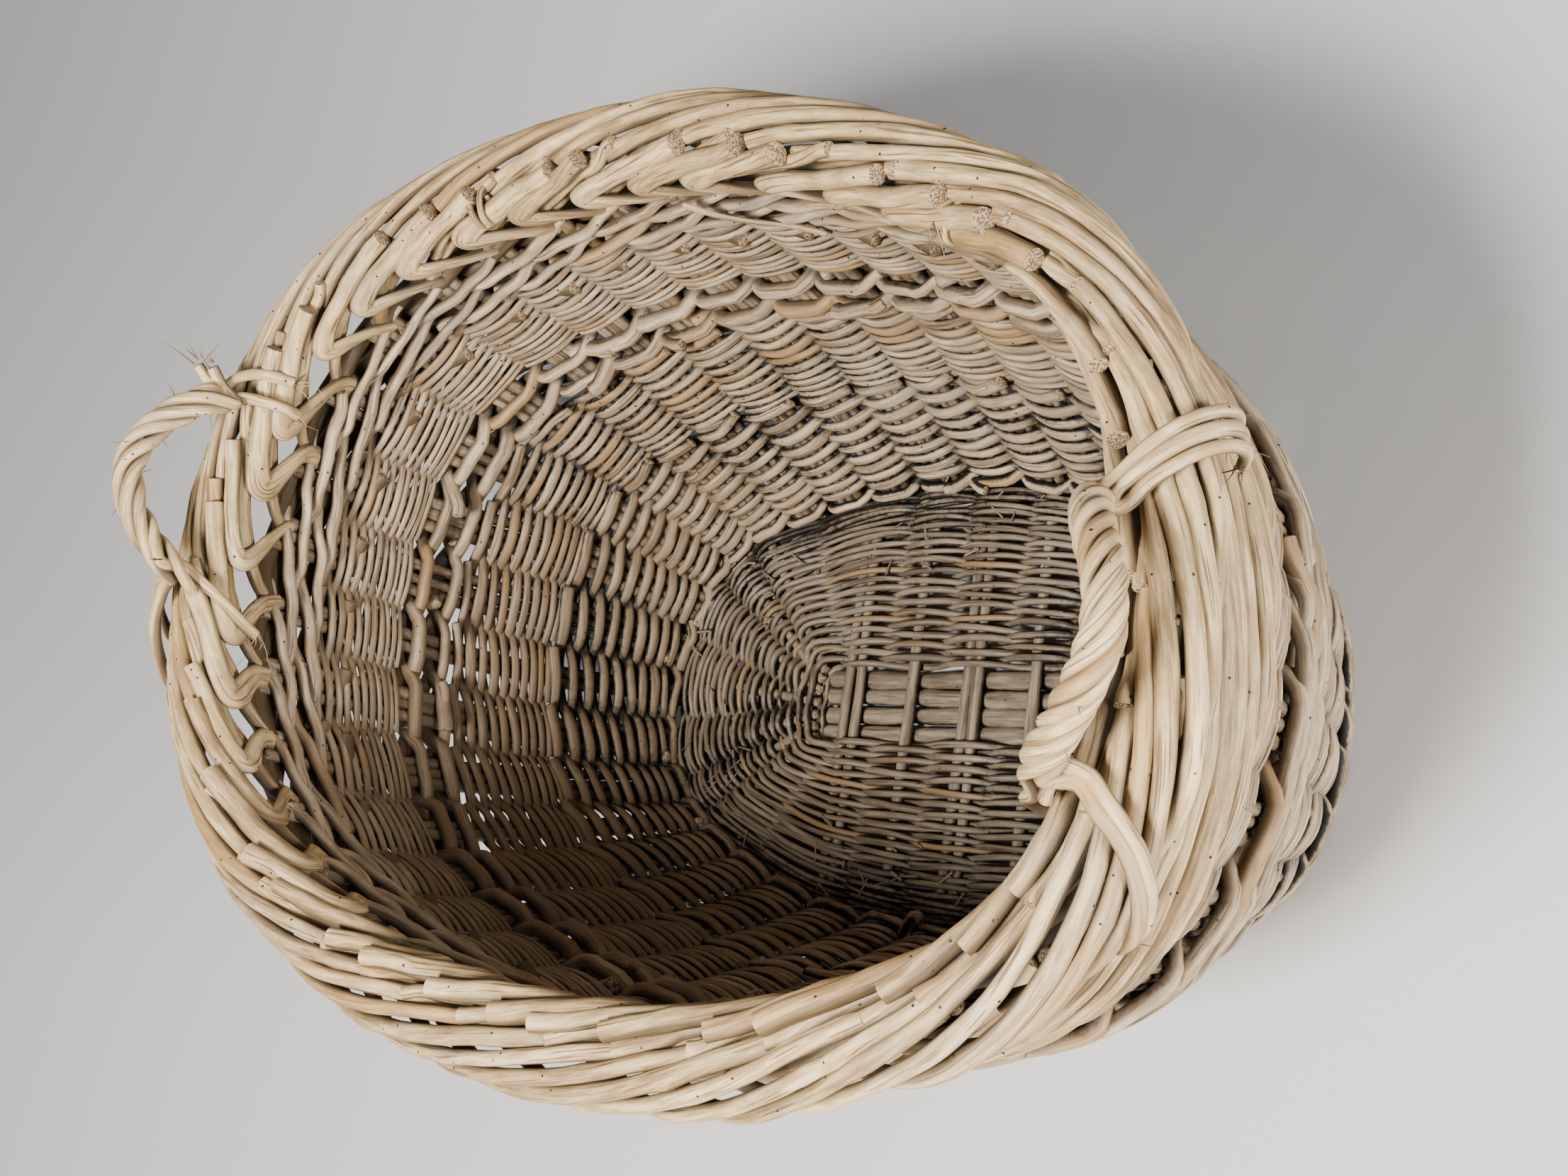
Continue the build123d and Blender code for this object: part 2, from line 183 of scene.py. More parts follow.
class Bundle:
    """Collects tubes and turns them into one mesh object."""

    def __init__(self):
        self.verts, self.quads, self.tris = [], [], []
        self.grain, self.look, self.shade = [], [], []
        self.count = 0

    def add(self, verts, quads, tris, grain, look, shade):
        self.verts.append(verts)
        self.grain.append(grain)
        self.look.append(look)
        self.shade.append(shade)
        if len(quads):
            self.quads.append(quads + self.count)
        if len(tris):
            self.tris.append(tris + self.count)
        self.count += len(verts)

    def tubes(self, path, radius, ref, sides=8, dirt=0.0, tone=None, squash=1.0,
              cap=0.25, face=1.0, knots=1.0):
        """Tubes along paths of shape (rods, points, 3), with a radius and a side vector per point.

        Face is 1 where the rod's exposed side looks along the side vector, and -1 where it looks back. The
        shade attribute holds painted shade: high on the exposed side, lower on the sides where rods meet,
        lowest on the side that looks away.
        """
        path = np.asarray(path, float)
        if path.ndim == 2:
            path = path[None]
        rods, steps, _ = path.shape
        radius = np.broadcast_to(np.asarray(radius, float), (rods, steps)).copy()
        ref = np.broadcast_to(np.asarray(ref, float), path.shape)
        dirt = np.broadcast_to(np.asarray(dirt, float), (rods, steps))
        squash = np.broadcast_to(np.asarray(squash, float), (rods, steps))
        if tone is None:
            tone = rng.uniform(0, 1, rods)
        tone = np.broadcast_to(tone, (rods,))
        tangent = np.gradient(path, axis=1)
        tangent /= np.linalg.norm(tangent, axis=2, keepdims=True) + 1e-12
        side = np.cross(tangent, ref)
        side /= np.linalg.norm(side, axis=2, keepdims=True) + 1e-12
        front = np.cross(side, tangent)
        step = np.linalg.norm(np.diff(path, axis=1), axis=2)
        along = np.concatenate([np.zeros((rods, 1)), np.cumsum(step, axis=1)], axis=1)
        theta = np.linspace(0, 2 * math.pi, sides, endpoint=False)
        ph = rng.uniform(0, 6.28, (5, rods, 1, 1))
        s = along[:, :, None]
        th = theta[None, None, :]
        bumps = 0.045 * np.sin(2 * th + ph[0] + 30 * s) + 0.03 * np.sin(3 * th + ph[1] - 47 * s)
        bumps = bumps + 0.035 * np.sin(55 * s + ph[2]) + 0.03 * np.sin(131 * s + ph[3] + th)
        knot_at = rng.uniform(0, 1, (3, rods, 1, 1)) * along[:, -1:, None]
        knot_side = rng.uniform(0, 6.28, (3, rods, 1, 1))
        for spot, turn in zip(knot_at, knot_side):
            swell = np.exp(-((s - spot) / (1.3 * radius[:, :, None])) ** 2)
            bumps = bumps + knots * 0.13 * swell * (0.6 + 0.5 * np.cos(th - turn))
        ring_r = radius[:, :, None] * (1 + bumps)
        cos_t = np.cos(th) * squash[:, :, None]
        sin_t = np.sin(th) / np.sqrt(squash[:, :, None])
        verts = (path[:, :, None, :] + (ring_r * cos_t)[..., None] * front[:, :, None, :]
                 + (ring_r * sin_t)[..., None] * side[:, :, None, :])
        shift = rng.uniform(0, 40, (rods, 1, 1))
        flat = radius[:, :, None] + 0 * th
        grain = np.stack([flat * np.cos(th), flat * np.sin(th), s + shift + 0 * th], -1)
        look = np.stack([np.broadcast_to(tone[:, None, None], flat.shape), 0 * flat,
                         np.broadcast_to(dirt[:, :, None], flat.shape)], -1)
        face = np.broadcast_to(np.asarray(face, float), (rods, steps))[:, :, None]
        # Painted shade round each rod, read by the materials to darken its sides and back.
        shade = 0.25 * np.abs(np.cos(th)) + 0.75 * (0.5 + 0.5 * face * np.cos(th))
        quads = self.grid(rods, steps, sides)
        self.add(verts.reshape(-1, 3), quads, [], grain.reshape(-1, 3), look.reshape(-1, 3), shade.ravel())
        for end, sign in ((0, -1), (steps - 1, 1)):
            self.caps(path, tangent, verts, grain, look, radius, end, sign, sides, cap)

    def grid(self, rods, steps, sides):
        base = (np.arange(rods)[:, None, None] * steps + np.arange(steps - 1)[None, :, None]) * sides
        k = np.arange(sides)[None, None, :]
        nxt = (k + 1) % sides
        quads = np.stack([base + k, base + nxt, base + sides + nxt, base + sides + k], -1)
        return quads.reshape(-1, 4)

    def caps(self, path, tangent, verts, grain, look, radius, end, sign, sides, cap):
        """Cut ends: a ring set in from the rim and a centre, marked as end grain."""
        rods = path.shape[0]
        centre = path[:, end] + sign * tangent[:, end] * radius[:, end, None] * cap
        rim_pts = verts[:, end]
        inner = centre[:, None] + (rim_pts - path[:, end, None]) * 0.55
        pts = np.concatenate([rim_pts, inner, centre[:, None]], axis=1)
        tone = look[:, end, :1, 0:1]
        mark = np.concatenate([np.full((rods, sides, 1), 0.75), np.full((rods, sides, 1), 1.0),
                               np.ones((rods, 1, 1))], axis=1)
        lk = np.concatenate([np.broadcast_to(tone, mark.shape), mark,
                             np.broadcast_to(look[:, end, :1, 2:3], mark.shape)], axis=2)
        gr = np.concatenate([grain[:, end], grain[:, end] * [0.55, 0.55, 1],
                             grain[:, end, :1] * [0, 0, 1]], axis=1)
        per = 2 * sides + 1
        base = np.arange(rods)[:, None] * per
        k = np.arange(sides)[None]
        nxt = (k + 1) % sides
        quads = np.stack([base + k, base + sides + k, base + sides + nxt, base + nxt], -1).reshape(-1, 4)
        tris = np.stack([base + sides + k, base + 2 * sides + 0 * k, base + sides + nxt], -1).reshape(-1, 3)
        if sign < 0:
            quads, tris = quads[:, ::-1], tris[:, ::-1]
        # Cut ends get one middling value of the painted shade.
        shade = np.full(pts.size // 3, 0.8)
        self.add(pts.reshape(-1, 3), quads, tris, gr.reshape(-1, 3), lk.reshape(-1, 3), shade)

    def build(self, name, material):
        verts = np.concatenate(self.verts)
        quads = np.concatenate(self.quads)
        tris = np.concatenate(self.tris) if self.tris else np.zeros((0, 3), int)
        mesh = bpy.data.meshes.new(name)
        loops = np.concatenate([quads.ravel(), tris.ravel()])
        sizes = np.concatenate([np.full(len(quads), 4), np.full(len(tris), 3)])
        mesh.vertices.add(len(verts))
        mesh.vertices.foreach_set("co", verts.ravel())
        mesh.loops.add(len(loops))
        mesh.loops.foreach_set("vertex_index", loops)
        mesh.polygons.add(len(sizes))
        mesh.polygons.foreach_set("loop_start", np.concatenate([[0], np.cumsum(sizes)[:-1]]))
        mesh.polygons.foreach_set("use_smooth", np.ones(len(sizes), bool))
        mesh.update(calc_edges=True)
        for label, parts in (("grain", self.grain), ("look", self.look)):
            layer = mesh.attributes.new(label, "FLOAT_VECTOR", "POINT")
            layer.data.foreach_set("vector", np.concatenate(parts).ravel())
        layer = mesh.attributes.new("shade", "FLOAT", "POINT")
        layer.data.foreach_set("value", np.concatenate(self.shade))
        mesh.validate()
        mesh.materials.append(material)
        piece = bpy.data.objects.new(name, mesh)
        bpy.context.collection.objects.link(piece)
        return piece


def place(bundle, name, material, replaced):
    piece = bundle.build(name, material)
    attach(piece, "root")
    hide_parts(*replaced)


def smooth_path(keys, count):
    """Smooth path through key rows of numbers; the first column is the parameter."""
    keys = np.asarray(keys, float)
    t = np.linspace(keys[0, 0], keys[-1, 0], count)
    columns = [t]
    for column in keys[:, 1:].T:
        tangent = np.gradient(column, keys[:, 0])
        index = np.clip(np.searchsorted(keys[:, 0], t, side="right") - 1, 0, len(keys) - 2)
        h = keys[index + 1, 0] - keys[index, 0]
        f = (t - keys[index, 0]) / h
        h00, h10 = 2 * f ** 3 - 3 * f ** 2 + 1, f ** 3 - 2 * f ** 2 + f
        h01, h11 = -2 * f ** 3 + 3 * f ** 2, f ** 3 - f ** 2
        columns.append(h00 * column[index] + h10 * h * tangent[index]
                       + h01 * column[index + 1] + h11 * h * tangent[index + 1])
    return columns


# ---------------------------------------------------------------- materials

def willow(name, light, mid, dark, soil_amount, roughness, crevice_shade_width, crevice_shade_depth, shadow_and_soil_amount):
    """Weathered willow: grain streaks, blotches, worm holes, soil in the low places, painted shade between
    rods, and a painted shadow with some soil low in one corner of the wall.
    """
    mat = bpy.data.materials.new(name)
    mat.use_nodes = True
    tree = mat.node_tree
    nodes, links = tree.nodes, tree.links
    nodes.clear()
    light, mid, dark, soil = (colour + (1,) for colour in (light, mid, dark, SOIL))

    def node(kind, **values):
        made = nodes.new(kind)
        for key, value in values.items():
            setattr(made, key, value)
        return made

    def plug(value, socket):
        if isinstance(value, (int, float, tuple)):
            socket.default_value = value
        else:
            links.new(value, socket)

    def math_node(operation, a, b):
        made = node("ShaderNodeMath", operation=operation)
        plug(a, made.inputs[0])
        plug(b, made.inputs[1])
        return made.outputs[0]

    def times(a, b):
        return math_node("MULTIPLY", a, b)

    def noise(vector, scale, detail, rough=0.55):
        made = node("ShaderNodeTexNoise")
        plug(vector, made.inputs["Vector"])
        made.inputs["Scale"].default_value = scale
        made.inputs["Detail"].default_value = detail
        made.inputs["Roughness"].default_value = rough
        return made.outputs["Fac"]

    def stretch(vector, scale):
        made = node("ShaderNodeMapping")
        plug(vector, made.inputs["Vector"])
        made.inputs["Scale"].default_value = scale
        return made.outputs["Vector"]

    def ramp(value, low, high):
        made = node("ShaderNodeMapRange", interpolation_type="SMOOTHSTEP")
        plug(value, made.inputs["Value"])
        made.inputs["From Min"].default_value = low
        made.inputs["From Max"].default_value = high
        return made.outputs["Result"]

    def mix(factor, a, b, blend="MIX"):
        made = node("ShaderNodeMix", data_type="RGBA", blend_type=blend)
        plug(factor, made.inputs["Factor"])
        plug(a, made.inputs["A"])
        plug(b, made.inputs["B"])
        return made.outputs["Result"]

    grain = node("ShaderNodeAttribute", attribute_name="grain").outputs["Vector"]
    split = node("ShaderNodeSeparateXYZ")
    links.new(node("ShaderNodeAttribute", attribute_name="look").outputs["Vector"], split.inputs[0])
    tone, end, dirt = split.outputs
    place_vector = node("ShaderNodeTexCoord").outputs["Object"]

    shade = node("ShaderNodeAttribute", attribute_name="shade").outputs["Fac"]
    fibre = noise(stretch(grain, (1, 1, 0.05)), 1100, 4, 0.65)
    streak = noise(stretch(grain, (1, 1, 0.10)), 260, 5, 0.66)
    blotch = noise(stretch(grain, (1, 1, 0.5)), 60, 4, 0.6)
    patch = noise(place_vector, 7, 4, 0.6)
    body = mix(ramp(streak, 0.38, 0.60), mid, light)
    body = mix(times(ramp(blotch, 0.46, 0.66), 0.75), body, mid)
    deep = mix(ramp(streak, 0.36, 0.62), dark, mid)
    body = mix(times(ramp(tone, 0.30, 1.0), 0.70), body, deep)
    body = mix(times(ramp(fibre, 0.56, 0.70), 0.45), body, dark)
    crack = noise(stretch(grain, (1, 1, 0.03)), 520, 2, 0.5)
    body = mix(times(ramp(crack, 0.60, 0.66), 0.85), body, dark)
    honey = (0.52, 0.30, 0.11, 1)
    body = mix(times(ramp(tone, 0.88, 0.92), 0.38), body, honey)
    grey = (0.43, 0.375, 0.30, 1)
    body = mix(times(ramp(patch, 0.50, 0.70), 0.28), body, grey)

    cells = node("ShaderNodeTexVoronoi", feature="F1")
    links.new(grain, cells.inputs["Vector"])
    cells.inputs["Scale"].default_value = 78
    hole = math_node("SUBTRACT", 1.0, ramp(cells.outputs["Distance"], 0.055, 0.085))
    body = mix(hole, body, (0.02, 0.013, 0.008, 1))

    # Painted shade, with a little dirt: the colour darkens towards each rod's sides and back, where it meets
    # its neighbours; soil also gathers more there.
    crevice_shade_and_soil = math_node("SUBTRACT", 1.0, ramp(shade, 0.12, crevice_shade_width))
    body = mix(times(crevice_shade_and_soil, crevice_shade_depth), body, (0.045, 0.028, 0.015, 1))

    # Painted shadow with some soil: a dark patch, full within 0.12 m of one low spot on the -x, -y side and
    # gone by 0.42 m.
    from_shadow_and_soil = node("ShaderNodeVectorMath", operation="DISTANCE")
    links.new(place_vector, from_shadow_and_soil.inputs[0])
    from_shadow_and_soil.inputs[1].default_value = SHADOW_AND_SOIL_MIDDLE
    shadow_and_soil = math_node("SUBTRACT", 1.0, ramp(from_shadow_and_soil.outputs["Value"], 0.12, 0.42))
    shadow_and_soil = times(shadow_and_soil, math_node("ADD", times(patch, 0.5), shadow_and_soil_amount))
    body = mix(shadow_and_soil, body, (0.13, 0.085, 0.048, 1))

    grit = noise(place_vector, 150, 5, 0.72)
    catch = math_node("ADD", times(crevice_shade_and_soil, 0.85), 0.42)
    soil_mask = times(times(dirt, soil_amount), catch)
    soil_mask = math_node("ADD", soil_mask, times(grit, 0.70))
    soil_mask = ramp(soil_mask, 0.62, 0.92)
    body = mix(soil_mask, body, soil)

    rings = node("ShaderNodeTexNoise")
    links.new(grain, rings.inputs["Vector"])
    rings.inputs["Scale"].default_value = 900
    rings.inputs["Detail"].default_value = 4
    end_body = mix(ramp(rings.outputs["Fac"], 0.42, 0.58), (0.10, 0.062, 0.034, 1), (0.48, 0.35, 0.21, 1))
    body = mix(ramp(end, 0.35, 0.7), body, end_body)

    shader = node("ShaderNodeBsdfPrincipled")
    links.new(body, shader.inputs["Base Color"])
    rough_low = times(ramp(fibre, 0.2, 0.8), 0.22)
    links.new(math_node("ADD", rough_low, roughness), shader.inputs["Roughness"])
    shader.inputs["Specular IOR Level"].default_value = 0.35
    height = math_node("ADD", times(fibre, 0.35), times(streak, 0.50))
    height = math_node("SUBTRACT", height, times(hole, 0.9))
    height = math_node("ADD", height, times(times(grit, soil_mask), 0.8))
    bump = node("ShaderNodeBump")
    bump.inputs["Strength"].default_value = 0.5
    bump.inputs["Distance"].default_value = 0.0008
    links.new(height, bump.inputs["Height"])
    links.new(bump.outputs["Normal"], shader.inputs["Normal"])
    output = node("ShaderNodeOutputMaterial")
    links.new(shader.outputs["BSDF"], output.inputs["Surface"])
    return mat


SOIL = (0.014, 0.011, 0.008)
# Middle of the painted shadow, with some soil, low in the -x, -y corner of the wall.
SHADOW_AND_SOIL_MIDDLE = (-0.27, -0.16, 0.13)
border_mat = willow("border_willow_look", (0.80, 0.60, 0.33), (0.46, 0.31, 0.148), (0.15, 0.083, 0.036),
                    soil_amount=0.5, roughness=0.44, crevice_shade_width=0.96, crevice_shade_depth=0.97, shadow_and_soil_amount=0.0)
wall_mat = willow("wall_willow_look", (0.64, 0.50, 0.335), (0.35, 0.25, 0.15), (0.11, 0.07, 0.038),
                  soil_amount=1.05, roughness=0.46, crevice_shade_width=0.92, crevice_shade_depth=0.97, shadow_and_soil_amount=0.50)
base_mat = willow("base_willow_look", (0.29, 0.23, 0.163), (0.15, 0.113, 0.077), (0.05, 0.037, 0.025),
                  soil_amount=1.45, roughness=0.40, crevice_shade_width=0.90, crevice_shade_depth=0.97, shadow_and_soil_amount=0.0)

# ---------------------------------------------------------------- weave

def heights(node):
    low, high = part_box(node)
    return low[2], high[2]


def drift(rods, steps, waves, size):
    """Slow random wander along each rod."""
    t = np.linspace(0, 1, steps)[None]
    total = np.zeros((rods, steps))
    for k in waves:
        strength = rng.uniform(0.4, 1, (rods, 1)) / len(waves)
        total += np.sin(2 * math.pi * (k * t + rng.uniform(0, 1, (rods, 1)))) * strength
    return total * size


def hold(position, sharp=0.75):
    """+1 at even and -1 at odd positions, lying flat against each stake."""
    return np.tanh(sharp * np.cos(math.pi * position)) / math.tanh(sharp)


def wall_dirt(z, unit):
    """Soil by height: the base and the low wall are dirty, the rim is clean."""
    return 0.52 - 1.00 * z + 0.14 * wave(unit, z * 3, 5.5)


def fine_weave(name, node, rows, thin, thick, first, sides=8, per_row=9):
    """French randing: a rod starts at every stake and climbs one row at each stake it passes."""
    low, high = heights(node)
    low, high = low - 1 * MM, high + 1 * MM
    growth = 0.5
    lead = 0.45
    steps = int((rows - 1 + 2 * lead) * per_row)
    row = np.linspace(-lead, rows - 1 + lead, steps)[None] + np.zeros((UNITS, 1))
    start = np.arange(UNITS)[:, None] + first
    unit = start - row + drift(UNITS, steps, (2, 5, 9), 0.05)
    share = (row + 0.5) / rows
    z = low + (high - low) * share * (1 + growth * share) / (1 + growth)
    z = z + drift(UNITS, steps, (3, 7, 13, 19), 1.5 * MM)
    radius = (thin + (thick - thin) * np.clip(share, 0, 1)) * rng.uniform(0.88, 1.14, (UNITS, 1))
    depth = (STAKE_RADIUS - 0.9 * MM + radius) * (1 + drift(UNITS, steps, (4, 8, 11, 17), 0.16))
    side = hold(row)
    lift = -side * depth * np.where(side < 0, 0.62, 1.0)
    butt = np.clip((row - (rows - 1) - 0.02) / lead, 0, 1)
    lift = lift * (1 - 0.6 * butt) - butt * rng.uniform(3, 12, (UNITS, 1)) * MM
    z = z + butt * rng.uniform(-1, 8, (UNITS, 1)) * MM
    points, normals = wall(unit, z, lift)
    dirt = wall_dirt(z, unit) + 0.12 * (1 - np.abs(side)) + 0.10 * rng.uniform(-1, 1, (UNITS, 1))
    bundle = Bundle()
    bundle.tubes(points, radius, normals, sides, dirt, squash=0.68, face=-side, knots=0.6)
    place(bundle, name, wall_mat, [node])


def cycle(values, position, sharp=0.22):
    """Smooth run through values given at whole positions, flat near each of them."""
    values = np.asarray(values, float)
    base = np.floor(position).astype(int)
    f = np.clip((position - base - 0.5) / (1 - 2 * sharp) + 0.5, 0, 1)
    f = f * f * (3 - 2 * f)
    count = len(values)
    return values[base % count] * (1 - f) + values[(base + 1) % count] * f


def wale(bundle, middle, radius, outside, inside, seam, span=5.5, spread=1.0, sides=12, dirt_add=0.0):
    """A round of waling: each rod passes outside some stakes, then behind others."""
    period = outside + inside
    reach = STAKE_RADIUS + radius + 0.3 * MM
    lifts = [reach] * outside + [-reach] * inside
    levels = [1 - 2 * k / max(outside - 1, 1) for k in range(outside)] + [0.0] * inside
    for phase in range(period):
        first = 0.0
        while first < UNITS - 0.5:
            last = first + span + rng.integers(-2, 3)
            if UNITS - last < 3:
                last = UNITS + 0.2
            steps = int((last - first) * 9) + 4
            run = np.linspace(first - 0.35, last + 0.40, steps)
            unit = seam - phase - run
            fat = radius * rng.uniform(0.88, 1.12) * np.linspace(1.12, 0.86, steps)
            lift = cycle(lifts, run) * (1 + 0.07 * np.sin(run * 2.1 + phase))
            z = middle + spread * radius * (outside - 1) * cycle(levels, run)
            z = z + 1.8 * MM * np.sin(run * 1.3 + rng.uniform(0, 6))
            z = z + 1.2 * MM * np.sin(run * 3.1 + rng.uniform(0, 6))
            start_push = np.clip((first + 0.2 - run) / 0.5, 0, 1)
            end_push = np.clip((run - last + 0.1) / 0.5, 0, 1)
            lift = lift - start_push * rng.uniform(6, 16) * MM - end_push * rng.uniform(2, 9) * MM
            z = z + start_push * rng.uniform(-3, 8) * MM
            points, normals = wall(unit, z, lift)
            points[..., 2] = np.maximum(points[..., 2], 1.3 * fat)
            bundle.tubes(points, fat, normals, sides, wall_dirt(z, unit) + dirt_add, face=np.sign(lift))
            first = last
    return bundle


def upright_stakes():
    """Stakes in twos and threes, in as many groups as the frame has."""
    for group in range(STAKE_GROUPS):
        first = round(group * UNITS / STAKE_GROUPS)
        last = round((group + 1) * UNITS / STAKE_GROUPS)
        bundle = Bundle()
        for unit in range(first, last):
            spots = (-0.5, 0.5) if rng.uniform() < 0.2 else (-1.0, 0.0, 1.0)
            for spot in spots:
                z = np.linspace(STAKE_BOTTOM, STAKE_DRAWN_TOP, 44)
                lean = rng.uniform(-1.5, 1.5) * MM * np.sin(z * 12 + rng.uniform(0, 6))
                points, normals = wall(unit + 0 * z, z, rng.uniform(-1, 1) * MM + 0 * z)
                along = np.cross([0, 0, 1], normals)
                points = points + along * (spot * STAKE_SPACING + lean)[:, None]
                dirt = wall_dirt(z, unit + 0 * z) + 0.10
                bundle.tubes(points, rng.uniform(4.4, 5.2) * MM, normals, 10, dirt, squash=0.9, face=0)
        number = f"{group + 1:02d}"
        place(bundle, f"stakes_{number}", wall_mat, [f"wall_stakes_{number}"])


upright_stakes()
fine_weave("lower_weave_rods", "lower_wall_weave", 17, 3.2 * MM, 4.6 * MM, 0)
fine_weave("middle_weave_rods", "middle_wall_weave", 19, 2.5 * MM, 4.0 * MM, 1)
fine_weave("upper_weave_rods", "upper_wall_weave", 20, 1.9 * MM, 3.3 * MM, 0, per_row=8)

low, _ = heights("open_wale")
bundle = Bundle()
wale(bundle, low + 12 * MM, 5.6 * MM, 2, 1, 31, spread=0.9)
wale(bundle, low + 37 * MM, 5.9 * MM, 2, 1, 9.0, spread=0.9)
place(bundle, "open_wale_rods", wall_mat, ["open_wale"])

bundle = Bundle()
wale(bundle, 10 * MM, 4.4 * MM, 2, 1, 4, span=8.5, dirt_add=0.1)
wale(bundle, 28 * MM, 4.4 * MM, 2, 1, 20, span=8.5, dirt_add=0.1)
place(bundle, "bottom_wale_rods", wall_mat, ["bottom_wale"])


def short_strokes(bundle, keys, radius, sides, steps, first=0.0, wobble=1.0, taper=(1.04, 0.94)):
    """One rod per stake; keys hold (run, lift, height), all rods alike but for small drift."""
    keys = [(index,) + key for index, key in enumerate(keys)]
    _, run, lift, z = smooth_path(keys, steps)
    unit = np.arange(UNITS)[:, None] + first - run[None] + drift(UNITS, steps, (1, 2), 0.08)
    lift = lift[None] + drift(UNITS, steps, (1, 3), 1.5 * MM * wobble)
    z = z[None] + drift(UNITS, steps, (1, 2, 4), 3.0 * MM * wobble)
    fat = radius * rng.uniform(0.85, 1.15, (UNITS, 1)) * np.linspace(*taper, steps)[None]
    points, normals = wall(unit, z, lift)
    bundle.tubes(points, fat, normals, sides, wall_dirt(z, unit), face=np.sign(np.mean(lift)))


bottom, top = heights("heavy_outer_wale")
bundle = Bundle()
reach = STAKE_RADIUS + 6.3 * MM
low_row, high_row = bottom + 10 * MM, top - 13 * MM
fall = (high_row - low_row) / 4.2
keys = [(-1.0, -2 * MM, high_row + 3 * MM), (-0.4, reach * 0.7, high_row + 2 * MM)]
keys += [(k, reach + 1 * MM, high_row - fall * k) for k in (0.3, 1.0, 2.0, 3.0, 3.9)]
keys += [(4.4, reach * 0.8, low_row), (4.9, reach * 0.1, low_row - 1 * MM), (5.3, -6 * MM, low_row - 2 * MM)]
short_strokes(bundle, keys, 6.4 * MM, 14, 80, wobble=1.1, taper=(1.1, 0.9))
place(bundle, "outer_wale_rods", border_mat, ["heavy_outer_wale"])

bottom, top = heights("top_wale")
bundle = Bundle()
step = (top - bottom - 18 * MM) / 2
inner = -(STAKE_RADIUS + 4.6 * MM)
for layer in range(2):
    z0 = bottom + layer * step + 5 * MM
    keys = [(-0.62, 3 * MM, z0), (-0.3, -4 * MM, z0), (0, inner, z0 + 2 * MM),
            (0.5, inner - 1 * MM, z0 + 7 * MM), (1, inner, z0 + 13 * MM),
            (1.35, -4 * MM, z0 + 18 * MM), (1.68, 3 * MM, z0 + 21 * MM)]
    short_strokes(bundle, keys, 4.5 * MM, 12, 34, first=0.3 * layer)
place(bundle, "top_wale_rods", wall_mat, ["top_wale"])

# ---------------------------------------------------------------- border

def border_rods(made, keys, radius, steps, sides, units, taper, loose, squash, cap=0.25, uneven=0.0):
    """Rods of the border from keys of (run, across, up), run counted clockwise from the rod's own stake."""
    keys = [(index,) + key for index, key in enumerate(keys)]
    _, run, across, up = smooth_path(keys, steps)
    count = len(units)
    run = run[None] + uneven * rng.uniform(-1, 1, (count, 1)) * np.linspace(0, 1, steps)[None] ** 2
    ramp = np.clip(run / 0.5, 0, 1)
    unit = np.asarray(units)[:, None] - run * (1 + 0.03 * rng.uniform(-1, 1, (count, 1)) * ramp)
    unit = unit + drift(count, steps, (1, 2), 0.06 * loose)
    across = across[None] + drift(count, steps, (1, 2, 3), 1.5 * MM * loose) * ramp
    up = up[None] + drift(count, steps, (1, 2, 3), 1.5 * MM * loose) * ramp
    points, _ = rim(unit, across, up)
    core, _ = rim(unit, 0.0, 0.0)
    radius = np.asarray(radius) * rng.uniform(0.86, 1.14, (count, 1)) * np.linspace(*taper, steps)[None]
    squash = np.interp(np.arange(steps) / (steps - 1) * (len(keys) - 1), np.arange(len(keys)), squash)[None]
    dirt = 0.10 + drift(count, steps, (2,), 0.12)
    made.tubes(points, radius, points - core, sides, dirt, squash=squash, cap=cap)


def on_roll(run, turn, away):
    rad = math.radians(turn)
    return run, away * MM * math.cos(rad), away * MM * math.sin(rad)


def in_millimetres(keys):
    """Keys of (run, across, up), with across and up given in millimetres."""
    return [(run, across * MM, up * MM) for run, across, up in keys]


strand_keys = in_millimetres([(0.06, -11, -44), (0.16, -14, -30), (0.42, -16.5, -17), (0.8, -15.5, -7),
                              (1.15, -13, 2), (1.5, -10.5, 9), (1.9, -8, 15)])
strand_keys += [on_roll(*key) for key in ((2.3, 106, 22), (3.0, 89, 27), (4.0, 62, 28), (5.0, 35, 28),
                                          (5.8, 14, 27), (6.3, -1, 23), (6.75, -22, 15), (7.15, -50, 7))]
strand_flat = [0.7, 0.7, 0.8, 0.9] + [1.0] * 11
for n in range(6):
    made = Bundle()
    chosen = range(n * UNITS // 6, (n + 1) * UNITS // 6)
    border_rods(made, strand_keys, 5.9 * MM, 140, 16, chosen, (1.08, 0.90), loose=1.25, squash=strand_flat)
    place(made, f"border_strands_{n + 1}", border_mat, [f"border_rod_{n + 1}"])

